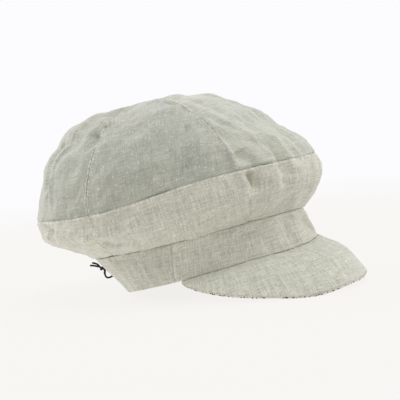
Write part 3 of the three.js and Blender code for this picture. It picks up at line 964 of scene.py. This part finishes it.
def crown_panel(name, first, from_place, to_place, columns, rows, material, shade, node):
    on_top = from_place >= 1
    second = (first + 1) % len(SEAM_ROWS)
    across = towards_edges(columns, PANEL_CROWDING[0])
    upward = towards_edges(rows, PANEL_CROWDING[1])
    step = across[1]
    place = mix(to_place, from_place, upward)[:, None]
    start, end = seam_heading(first, place), seam_heading(second, place)
    start = np.where(end < start, start - 360, start)
    wider = np.concatenate([[-step], across, [1 + step]])[None, :]
    heading = mix(start, end, wider)
    place = np.broadcast_to(place, heading.shape)
    point = crown_surface(heading, place)
    normal = grid_normals(point)
    flip = np.sign((normal * outward(point)).sum(-1, keepdims=True).mean())
    normal = (normal * flip)[:, 1:-1]
    point, heading, place = point[:, 1:-1], heading[:, 1:-1], place[:, 1:-1]

    down = arc_lengths(point, 0)
    from_top, from_bottom = down, down[-1:] - down
    upright, which = seam_distance(point, heading, place)
    line = seams["crown_line" if on_top else "side_line"][which]
    wide_seam = from_bottom if on_top else from_top
    level = np.minimum(from_bottom, wide_seam)
    nearest = np.minimum(upright, level)
    relief = UPRIGHT_RELIEF * seam_relief(upright) + seam_relief(from_bottom)
    if not on_top:
        relief += seam_relief(from_top)
    apex_fade = np.clip((2.0 - place) / APEX_FADE, 0, 1)
    relief *= apex_fade

    rumple = RUMPLE_HEIGHT * wave_noise(point, RUMPLE_SIZE, seed=5)
    rumple += FINE_RUMPLE_SHARE * RUMPLE_HEIGHT * wave_noise(point, FINE_RUMPLE_SIZE, seed=6)
    pucker = PUCKER_HEIGHT * wave_noise(point, PUCKER_SIZE, seed=7) * bell(nearest, PUCKER_REACH)
    turn = np.mod(heading + 180, 360) - 180
    strip = pair(np.radians(turn) * GATHER_ROUND, place * GATHER_UP)
    ripple = wave_noise(strip, GATHER_SIZE, seed=8)
    gather = GATHER_HEIGHT * ripple * bell(wide_seam, GATHER_REACH) * bell(turn, GATHER_SPREAD)
    detail = (rumple + pucker) * (1 - bell(nearest, SEAM_CLEAR_WIDTH)) * apex_fade + gather
    point = point + outward(point) * relief[..., None] + normal * detail[..., None]

    middle = columns // 2
    sideways = arc_lengths(point, 1)
    sideways = sideways - sideways[:, middle:middle + 1]
    uv = pair(sideways, down[:, middle:middle + 1])
    inner = point - outward(point) * CLOTH_WALL
    level_line = LEVEL_DARKNESS * bell(level, SEAM_LINE_WIDTH)
    seam = np.maximum(line * bell(upright, SEAM_LINE_WIDTH), level_line) * apex_fade
    stitch = UPRIGHT_STITCH * line * bell(upright - UPRIGHT_STITCH_PLACE, SEAM_LINE_WIDTH)
    if not on_top:
        stitch = np.maximum(stitch, bell(from_top - LEVEL_STITCH_PLACE, SEAM_LINE_WIDTH))
    # shade: the panel's colour factor, partly its cloth's own tone and partly painted light and shade
    piece = add_mesh(
        name,
        np.stack([point, inner]),
        wall_faces(rows, columns),
        np.stack([uv, uv]),
        material,
        seam=np.stack([seam, seam]),
        stitch=np.stack([stitch, 0 * stitch]),
        shade=np.full(2 * seam.size, shade),
    )
    finish_piece(piece, node)


for number in range(len(SEAM_ROWS)):
    width = np.mod(seams["wide"][(number + 1) % len(SEAM_ROWS)] - seams["wide"][number], 360)
    panel_columns = int(LEAST_POINTS_ACROSS + width * POINTS_PER_DEGREE)
    crown_panel(f"side_cloth_{number + 1}", number, 0.0, 1.0, panel_columns, SIDE_POINTS_UP,
                side_linen, seams["side_shade"][number], f"side_panel_{number + 1}")
    crown_panel(f"crown_cloth_{number + 1}", number, 1.0, APEX_PLACE, panel_columns, CROWN_POINTS_UP,
                crown_linen, seams["crown_shade"][number], f"crown_panel_{number + 1}")


# Band
# Soft folds of the band: heading and height up the band, how far they reach, and their height
BAND_FOLD_COLUMNS = ("heading", "up", "wide", "tall", "height")
BAND_FOLD_ROWS = (
    (-14, 0.56, 6.0, 0.30, -4.0),
    (-21, 0.48, 4.0, 0.40, 1.5),
    (1, 0.45, 4.5, 0.60, 1.4),
    (8, 0.40, 4.0, 0.50, -1.0),
    (40, 0.50, 6.0, 0.60, 0.8),
    (78, 0.30, 5.0, 0.50, -1.2),
    (104, 0.40, 6.0, 0.60, 0.9),
)
BAND_FADE_AT_TOP = 6.0
BAND_FADE_AT_HEM = 8.0
CRUMPLE_HEIGHT = 0.9
CRUMPLE_SIZE = 26.0
CRUMPLE_STRETCH = 0.35
FINE_CRUMPLE_HEIGHT = 0.5
FINE_CRUMPLE_SIZE = 10.0
BAND_PUCKER_HEIGHT = 0.5
BAND_PUCKER_SIZE = 7.0
BAND_PUCKER_STRETCH = 0.4
BAND_PUCKER_REACH = 8.0
BAND_SEAM_WIDTH = 0.8
BAND_POINTS = (150, 34)
BAND_CROWDING = (0.6, 0.5)
HEM_STEPS = 5
# The eyelets' holes are in metres, and the thread round them in millimetres.
EYELET_RADIUS = 0.00135
EYELET_REACH = 0.004
EYELET_SIDES = 24
EYELET_RING = 2.2
EYELET_RING_WIDTH = 0.9

band_folds = read_table(BAND_FOLD_COLUMNS, BAND_FOLD_ROWS)


def band_fold_height(heading, up):
    height = np.zeros(heading.shape)
    for k in range(len(BAND_FOLD_ROWS)):
        turn = np.mod(heading - band_folds["heading"][k] + 180, 360) - 180
        bump = bell(turn, band_folds["wide"][k]) * bell(up - band_folds["up"][k], band_folds["tall"][k])
        height += band_folds["height"][k] * bump
    return height


def stitched_rings(point):
    """How much each point lies on the thread round the eyelets."""
    ring = np.zeros(point.shape[:-1])
    for eyelet in (LOW_EYELET, HIGH_EYELET):
        distance = np.linalg.norm(point - eyelet_point(eyelet, 0.0) / MM, axis=-1)
        ring = np.maximum(ring, bell(distance - EYELET_RING, EYELET_RING_WIDTH))
    return ring


def rounded_loop(depths, wall, round_steps):
    """(place along, depth from the outside) of a section: out along the wall, round its end, back."""
    out = [(s, 0.0) for s in depths]
    turn = [(depths[-1] + math.sin(a) * wall / 2, wall / 2 - math.cos(a) * wall / 2)
            for a in np.linspace(0, math.pi, round_steps + 2)[1:-1]]
    back = [(s, wall) for s in depths[::-1]]
    return np.array(out + turn + back)


def band_heading(start, end, lean, across, up):
    """Headings of a band piece, whose ends lean by so many degrees from the hem to the join."""
    return mix(start - lean * up, end + lean * up, across)


def band_piece(name, start, end, lean, shade, node, seed):
    across = towards_edges(BAND_POINTS[0], BAND_CROWDING[0])[None, :]
    down = towards_edges(BAND_POINTS[1], BAND_CROWDING[1])
    up = 1 - down[:, None]
    outer = band_surface(band_heading(start, end, lean, across, up), up)
    height = np.linalg.norm(outer[-1] - outer[0], axis=-1).mean()
    depths = down * (height - BAND_WALL / 2)
    section = rounded_loop(depths, BAND_WALL, HEM_STEPS)
    low = section[:, :1]
    up = 1 - low / height
    heading = band_heading(start, end, lean, across, up)
    outer = band_surface(heading, up)
    flat = unit(outer * np.array([1.0, 1.0, 0.0]))
    sideways = arc_lengths(outer[:1], 1)
    from_end = np.minimum(sideways, sideways[:, -1:] - sideways)
    crumple_place = pair(sideways, low * CRUMPLE_STRETCH)
    crumple = CRUMPLE_HEIGHT * wave_noise(crumple_place, CRUMPLE_SIZE, seed)
    crumple = crumple + FINE_CRUMPLE_HEIGHT * wave_noise(crumple_place, FINE_CRUMPLE_SIZE, seed + 1)
    pucker_place = pair(sideways * BAND_PUCKER_STRETCH, low)
    pucker = BAND_PUCKER_HEIGHT * wave_noise(pucker_place, BAND_PUCKER_SIZE, seed + 2)
    top_fade = np.clip(low / BAND_FADE_AT_TOP, 0, 1)
    hem_fade = np.clip((height - low) / BAND_FADE_AT_HEM, 0, 1)
    relief = crumple * top_fade + pucker * bell(from_end, BAND_PUCKER_REACH)
    relief = relief + UPRIGHT_RELIEF * seam_relief(from_end)
    relief = relief + band_fold_height(heading, up) * top_fade * hem_fade
    point = outer - flat * section[:, 1][:, None, None] + flat * relief[..., None]
    uv = pair(sideways, arc_lengths(section, 0)[:, None])
    end_seam = BAND_SEAM_DARKNESS * bell(from_end, BAND_SEAM_WIDTH)
    seam = np.broadcast_to(np.maximum(end_seam, bell(low, SEAM_LINE_WIDTH)), point.shape[:2])
    piece = add_mesh(name, point, loop_faces(*point.shape[:2]), uv, band_linen,
                     seam=seam, stitch=stitched_rings(point), shade=np.full(seam.size, shade))
    finish_piece(piece, node)
    return piece


def cut_eyelets(piece):
    """The cord's two holes, cut through the wall of the band."""
    for eyelet in (LOW_EYELET, HIGH_EYELET):
        depths = (-EYELET_REACH, BAND_WALL * MM + EYELET_REACH)
        outside, inside = [Vector(to_world(eyelet_point(eyelet, depth) / MM)) for depth in depths]
        form = bmesh.new()
        turn = (outside - inside).to_track_quat("Z", "Y").to_matrix().to_4x4()
        bmesh.ops.create_cone(form, cap_ends=True, segments=EYELET_SIDES, radius1=EYELET_RADIUS,
                              radius2=EYELET_RADIUS, depth=(outside - inside).length,
                              matrix=Matrix.Translation((outside + inside) / 2) @ turn)
        mesh = bpy.data.meshes.new("eyelet_cutter")
        form.to_mesh(mesh)
        form.free()
        cutter = add_object("eyelet_cutter", mesh)
        cut = piece.modifiers.new("eyelet", "BOOLEAN")
        cut.operation = "DIFFERENCE"
        cut.solver = "EXACT"
        cut.object = cutter
        dressed = piece.evaluated_get(bpy.context.evaluated_depsgraph_get())
        shape = bpy.data.meshes.new_from_object(dressed)
        piece.modifiers.clear()
        piece.data = shape
        bpy.data.objects.remove(cutter)


# Painted light and shade: the front band's colour is drawn lighter and the back band's darker, under the
# crown's overhang
band_piece("band_front_cloth", -BAND_SEAM_ANGLE, BAND_SEAM_ANGLE, -BAND_SEAM_LEAN,
           shade=1.06, node="band_front", seed=31)
band_back = band_piece("band_back_cloth", BAND_SEAM_ANGLE, 360 - BAND_SEAM_ANGLE, BAND_SEAM_LEAN,
                       shade=0.93, node="band_back", seed=41)
cut_eyelets(band_back)


# Peak
PEAK_RUMPLE = 0.5
PEAK_RUMPLE_SIZE = 45.0
FINE_PEAK_RUMPLE_SHARE = 0.4
FINE_PEAK_RUMPLE_SIZE = 14.0
PEAK_SEED = 51
PEAK_SEAM_WIDTH = 1.0
PEAK_TUCK_DROP = 0.4
PEAK_POINTS = (150, 60)
PEAK_CROWDING = (0.3, 0.4)
RIM_STEPS = 5
NORMAL_STEP = 0.01
NORMAL_LIMIT = 0.995
FACING_SINK = 1.2
FACING_SINK_WIDTH = 6.0
PEAK_END_OVERHANG = 0.8
PEAK_END_RANGE = (0.45, 0.9)
# Painted light and shade on the peak: its colour is drawn lighter towards the wearer's right end and
# darker from the middle to the wearer's left end.
PEAK_PAINTED_SHADE_TURN = 0.25
PEAK_PAINTED_SHADE_CENTRE = 0.35
PEAK_PAINTED_SHADE_RANGE = 0.09


def peak_normal(place, out):
    a = peak_surface(np.maximum(place - NORMAL_STEP, -NORMAL_LIMIT), out)
    b = peak_surface(np.minimum(place + NORMAL_STEP, NORMAL_LIMIT), out)
    c = peak_surface(place, np.clip(out - NORMAL_STEP, 0, 1))
    d = peak_surface(place, np.clip(out + NORMAL_STEP, 0, 1))
    return unit(np.cross(b - a, d - c))


def peak_piece(name, depth, wall, material, node, overhang=0.0, sink=0.0):
    columns, rows = PEAK_POINTS
    place = PEAK_END * (2 * towards_edges(columns, PEAK_CROWDING[0]) - 1)[None, :]
    out = towards_edges(rows, PEAK_CROWDING[1])
    top = peak_surface(place, out[:, None])
    normal = peak_normal(place, out[:, None])
    reach_out = arc_lengths(top, 0)
    width = arc_lengths(top[-1:], 1)
    rim_out = unit(top[-1] - top[-2])
    tuck = -unit(top[0] * np.array([1.0, 1.0, 0.0])) * PEAK_TUCK
    noise_place = pair(width, reach_out)
    relief = PEAK_RUMPLE * wave_noise(noise_place, PEAK_RUMPLE_SIZE, PEAK_SEED)
    fine = FINE_PEAK_RUMPLE_SHARE * PEAK_RUMPLE
    relief += fine * wave_noise(noise_place, FINE_PEAK_RUMPLE_SIZE, PEAK_SEED + 1)
    inset = wall / 2
    end_reach = 1 + PEAK_END_OVERHANG * smooth_step(np.abs(place[0]), *PEAK_END_RANGE)

    def surface_row(k, level):
        point = top[k] - normal[k] * level + normal[k] * relief[k][:, None]
        if k == 0:
            point = point + tuck - np.array([0.0, 0.0, PEAK_TUCK_DROP])
        point[:, 2] -= sink * bell(reach_out[k], FACING_SINK_WIDTH)
        if k == rows - 1:
            point = point + rim_out * (overhang * end_reach - inset)[:, None]
        return point

    rows_of_points = []
    rows_of_uv = []
    round_rim = wall * 1.5
    for k in range(rows):
        rows_of_points.append(surface_row(k, depth))
        rows_of_uv.append(reach_out[k])
    for angle in np.linspace(0, math.pi, RIM_STEPS + 2)[1:-1]:
        level = depth + wall / 2 - math.cos(angle) * wall / 2
        rows_of_points.append(surface_row(rows - 1, level) + rim_out * math.sin(angle) * inset)
        rows_of_uv.append(reach_out[-1] + angle / math.pi * round_rim)
    for k in range(rows - 1, -1, -1):
        rows_of_points.append(surface_row(k, depth + wall))
        rows_of_uv.append(2 * reach_out[-1] + round_rim - reach_out[k])
    point = np.array(rows_of_points)
    uv = pair(width, np.array(rows_of_uv))
    seam = np.zeros(point.shape[:2])
    seam[:rows] = bell(reach_out, PEAK_SEAM_WIDTH)
    # Painted light and shade along the peak, carried by the shade mark
    painted_shade_change = PEAK_PAINTED_SHADE_TURN * (place - PEAK_PAINTED_SHADE_CENTRE)
    shade = 1 + np.clip(painted_shade_change, -PEAK_PAINTED_SHADE_RANGE, PEAK_PAINTED_SHADE_RANGE)
    piece = add_mesh(name, point, loop_faces(*point.shape[:2])[:, ::-1], uv, material,
                     seam=seam, shade=np.broadcast_to(shade, seam.shape))
    finish_piece(piece, node)


peak_piece("peak_cloth", 0.0, PEAK_TOP_WALL, peak_linen, "peak_top")
peak_piece("peak_facing_cloth", PEAK_TOP_WALL + LAYER_GAP, PEAK_FACING_WALL, facing_print, "peak_facing",
           FACING_OVERHANG, FACING_SINK)


# Stage: a pale round floor, lit from within, that fades into the background at its edge
FLOOR_RADIUS = 3.2
FLOOR_FADE_START = 0.55
FLOOR_FADE_END = 1.2
FLOOR_DIM_START = 1.4
FLOOR_DIM_END = 3.0
FLOOR_GLOW = 0.925
FLOOR_ALBEDO = 0.08
FLOOR_SIDES = 96
BACKGROUND = (0.972, 0.966, 0.990)
FLOOR_TONE = (0.930, 0.912, 0.885)

# The room on the camera's side is dimmer than the white backdrop.
ROOM_DIRECTION = (-0.83, -0.55, 0.1)
ROOM_LEVEL = 0.48
ROOM_NEAR_EDGE = -0.3
ROOM_FAR_EDGE = 0.7

# Soft lights: name, place and width in metres, and power
LIGHTS = (
    ("overhead", (-0.2, -0.4, 2.3), 1.6, 14.0),
    ("right_rim", (1.3, -1.3, 1.0), 1.0, 6.0),
    ("left_rim", (-0.22, 1.77, 0.6), 1.0, 7.5),
)


def make_floor():
    angle = np.linspace(0, 2 * np.pi, FLOOR_SIDES, endpoint=False)
    edge = [(FLOOR_RADIUS * math.cos(a), FLOOR_RADIUS * math.sin(a), 0.0) for a in angle]
    points = [(0.0, 0.0, 0.0), *edge]
    faces = [(0, i + 1, (i + 1) % FLOOR_SIDES + 1) for i in range(FLOOR_SIDES)]
    mesh = bpy.data.meshes.new("floor")
    mesh.from_pydata(points, [], faces)
    s = Shader(bpy.data.materials.new("floor_white"))
    place = s.node("TexCoord", output=3)
    distance = s.node("VectorMath", output=1, settings={"operation": "LENGTH"}, i0=place)
    fade = s.node("MapRange", settings={"interpolation_type": "SMOOTHSTEP"},
                  i0=distance, i1=FLOOR_FADE_START, i2=FLOOR_FADE_END, i3=0.0, i4=1.0)
    near = tuple(tone * FLOOR_GLOW for tone in FLOOR_TONE)
    glow = s.blend(fade, (*near, 1), (*BACKGROUND, 1))
    bearing = s.node("VectorMath", settings={"operation": "NORMALIZE"}, i0=place)
    towards = s.vector("DOT_PRODUCT", bearing, ROOM_DIRECTION, output=1)
    room = s.ramp(towards, ROOM_NEAR_EDGE, ROOM_FAR_EDGE, 1.0, ROOM_LEVEL)
    dimming = s.ramp(distance, FLOOR_DIM_START, FLOOR_DIM_END)
    level = s.plus(s.times(s.minus(room, 1.0), dimming), 1.0)
    white = s.blend(fade, (*[FLOOR_ALBEDO * tone for tone in FLOOR_TONE], 1), (0, 0, 0, 1))
    s.set(Base_Color=white, Roughness=1.0, Emission_Color=s.scaled(glow, level), Emission_Strength=1.0)
    s.set(Specular_IOR_Level=0.0)
    mesh.materials.append(s.owner)
    floor = add_object("floor", mesh)


def area_light(name, place, size, power):
    data = bpy.data.lights.new(name, "AREA")
    data.shape = "DISK"
    data.size = size
    data.energy = power
    light = add_object(name, data)
    light.location = place
    direction = -np.array(place) / np.linalg.norm(place)
    light.rotation_euler = Vector(direction).to_track_quat("-Z", "Y").to_euler()


def make_light():
    s = Shader(bpy.data.worlds.new("studio"), "Background")
    towards = s.vector("DOT_PRODUCT", s.node("TexCoord"), ROOM_DIRECTION, output=1)
    strength = s.ramp(towards, ROOM_NEAR_EDGE, ROOM_FAR_EDGE, 1.0, ROOM_LEVEL)
    s.set(Color=(*BACKGROUND, 1), Strength=strength)
    bpy.context.scene.world = s.owner
    for row in LIGHTS:
        area_light(*row)
    bpy.context.scene.view_settings.view_transform = "Standard"


make_floor()
make_light()
